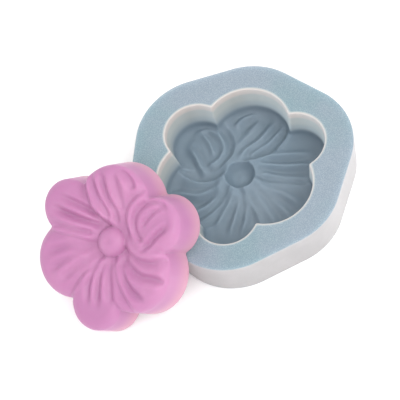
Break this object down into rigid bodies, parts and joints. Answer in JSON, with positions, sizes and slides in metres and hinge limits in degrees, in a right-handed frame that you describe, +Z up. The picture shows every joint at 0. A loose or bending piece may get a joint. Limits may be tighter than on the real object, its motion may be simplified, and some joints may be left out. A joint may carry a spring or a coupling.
{
  "type": "silicone soap mould",
  "caption": "Single-cavity silicone soap mould with a six-petal flower cavity in a rounded hexagonal block, and the flower soap casting that comes out of it.",
  "frame": {"origin": "centre of the mould's flat base", "axes": "+Z up out of the cavity's mouth, +X through the middle of a narrow petal and a corner of the block"},
  "size_m": [0.1293, 0.0888, 0.0437],
  "materials": {
    "silicone": "translucent matte",
    "soap": "satin"
  },
  "bodies": {
    "mould": {"mould_body": "silicone"},
    "casting": {"soap_casting": "soap"}
  },
  "joints": [
    {"name": "casting_lift", "type": "slide", "parent": "mould", "child": "casting", "axis": [0, 0, 1], "range_m": [0, 0.06]}
  ]
}
